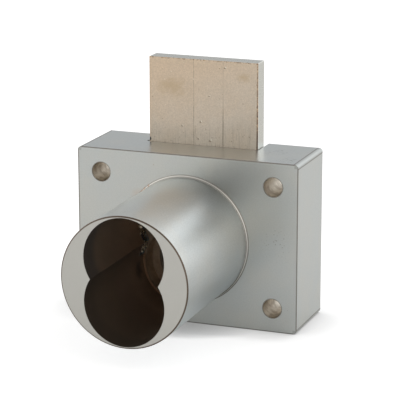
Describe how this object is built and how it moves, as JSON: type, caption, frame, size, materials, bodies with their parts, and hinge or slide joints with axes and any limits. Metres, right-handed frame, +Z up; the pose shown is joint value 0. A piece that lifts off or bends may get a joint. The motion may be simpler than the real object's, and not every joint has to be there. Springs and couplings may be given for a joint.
{
  "type": "drawer lock",
  "caption": "Surface-mounted drawer deadbolt lock: boxed case with corner screw holes, round barrel with a figure-eight core socket, and a flat bolt rising from its top.",
  "frame": {"origin": "the barrel's axis at the mounting face, which is the front face of the case", "axes": "+X to the right seen from the barrel, +Y from the barrel's mouth to the back cover, +Z up, the way the bolt is thrown"},
  "size_m": [0.052, 0.0528, 0.058],
  "materials": {
    "case_plating": "satin",
    "barrel_plating": "satin",
    "bolt_nickel": "satin",
    "zinc_steel": "satin",
    "spring_steel": "satin",
    "washer_brass": "satin"
  },
  "bodies": {
    "lock_body": {"case": "case_plating", "back_cover": "zinc_steel", "cover_screws": "zinc_steel", "core_housing": "barrel_plating", "housing_washer": "zinc_steel", "housing_ring": "spring_steel", "housing_dowel": "zinc_steel", "stop_pin": "zinc_steel", "thrust_washer": "washer_brass", "throw_ring": "spring_steel", "friction_spring": "spring_steel", "spring_rivets": "zinc_steel"},
    "deadbolt": {"bolt": "bolt_nickel"},
    "throw": {"throw_member": "zinc_steel", "throw_prongs": "zinc_steel", "throw_arm": "zinc_steel", "arm_washer": "spring_steel", "arm_screw": "zinc_steel", "crank_pin": "zinc_steel", "crank_sleeve": "zinc_steel"}
  },
  "joints": [
    {"name": "bolt_slide", "type": "slide", "parent": "lock_body", "child": "deadbolt", "axis": [0, 0, 1], "range_m": [-0.01905, 0]},
    {"name": "throw_turn", "type": "hinge", "parent": "lock_body", "child": "throw", "pos_m": [0, 0.006, -0.00486], "axis": [0, 1, 0], "range_deg": [0, 90]}
  ],
  "couplings": [
    {"joint": "throw_turn", "follows": "bolt_slide", "rad_per_m": -82.456}
  ]
}
